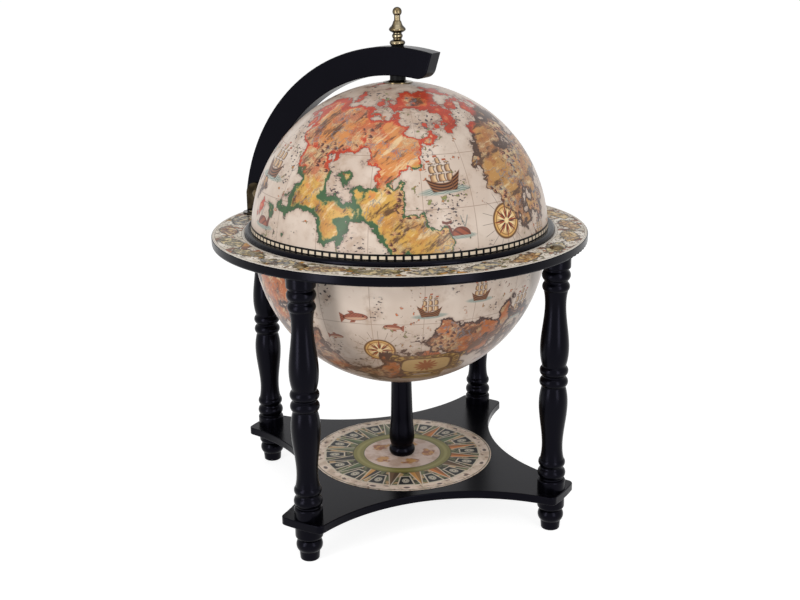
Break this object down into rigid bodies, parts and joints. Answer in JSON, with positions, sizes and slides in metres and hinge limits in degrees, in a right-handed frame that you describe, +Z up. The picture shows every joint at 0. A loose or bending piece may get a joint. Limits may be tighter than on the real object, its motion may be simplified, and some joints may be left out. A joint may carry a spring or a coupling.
{
  "type": "tabletop globe bar",
  "caption": "Drinks cabinet shaped as a globe: a hinged half-globe lid on a curved arm over a bowl with a bottle and glass rack, in a ring on turned legs.",
  "frame": {"origin": "on the floor under the globe's vertical axis", "axes": "+Z up, the lid's hinge at +Y, the hinge pin along X, legs at +X, +Y, -X and -Y"},
  "size_m": [0.416, 0.416, 0.56],
  "materials": {
    "black_lacquer": "satin black lacquer on turned and cut wood",
    "globe_print": "varnished printed paper on a moulded shell",
    "ring_paper": "varnished printed paper on wood",
    "medallion_paper": "varnished printed paper on wood",
    "band_paper": "varnished printed paper strip",
    "bare_wood": "clear varnished wood",
    "antique_brass": "antiqued, dark in the recesses",
    "steel": "zinc plated",
    "black_plastic": "satin black"
  },
  "bodies": {
    "stand": {"horizon_ring": "black_lacquer", "ring_print": "ring_paper", "base_shelf": "black_lacquer", "medallion_print": "medallion_paper", "centre_post": "black_lacquer", "leg_front": "black_lacquer", "leg_right": "black_lacquer", "leg_rear": "black_lacquer", "leg_left": "black_lacquer", "foot_front": "black_lacquer", "foot_right": "black_lacquer", "foot_rear": "black_lacquer", "foot_left": "black_lacquer", "foot_studs": "steel", "ring_bolts": "antique_brass", "rear_leg_screw": "steel", "post_screws": "steel", "lower_hemisphere": "globe_print", "lower_rim": "black_lacquer", "rack_tray": "black_lacquer", "glass_shelf": "black_lacquer", "rack_pillars": "black_lacquer", "tray_cleats": "black_lacquer", "bottle_base": "black_lacquer", "hinge_bracket": "antique_brass", "hinge_pin": "antique_brass", "bracket_screws": "antique_brass"},
    "arm": {"meridian_arm": "black_lacquer", "finial": "antique_brass", "finial_washer": "black_plastic", "spindle": "steel", "spindle_nut": "steel", "inner_washer": "steel", "arm_spacer": "black_plastic"},
    "lid": {"upper_hemisphere": "globe_print", "lid_band": "band_paper", "lid_hoop": "bare_wood", "lid_boss": "bare_wood", "dome_washer": "antique_brass"}
  },
  "joints": [
    {"name": "lid_hinge", "type": "hinge", "parent": "stand", "child": "arm", "pos_m": [0, 0.19017, 0.342], "axis": [-1, 0, 0], "range_deg": [0, 90]},
    {"name": "lid_spin", "type": "hinge", "parent": "arm", "child": "lid", "pos_m": [0, 0, 0.3167], "axis": [0, 0, 1], "continuous": true}
  ]
}
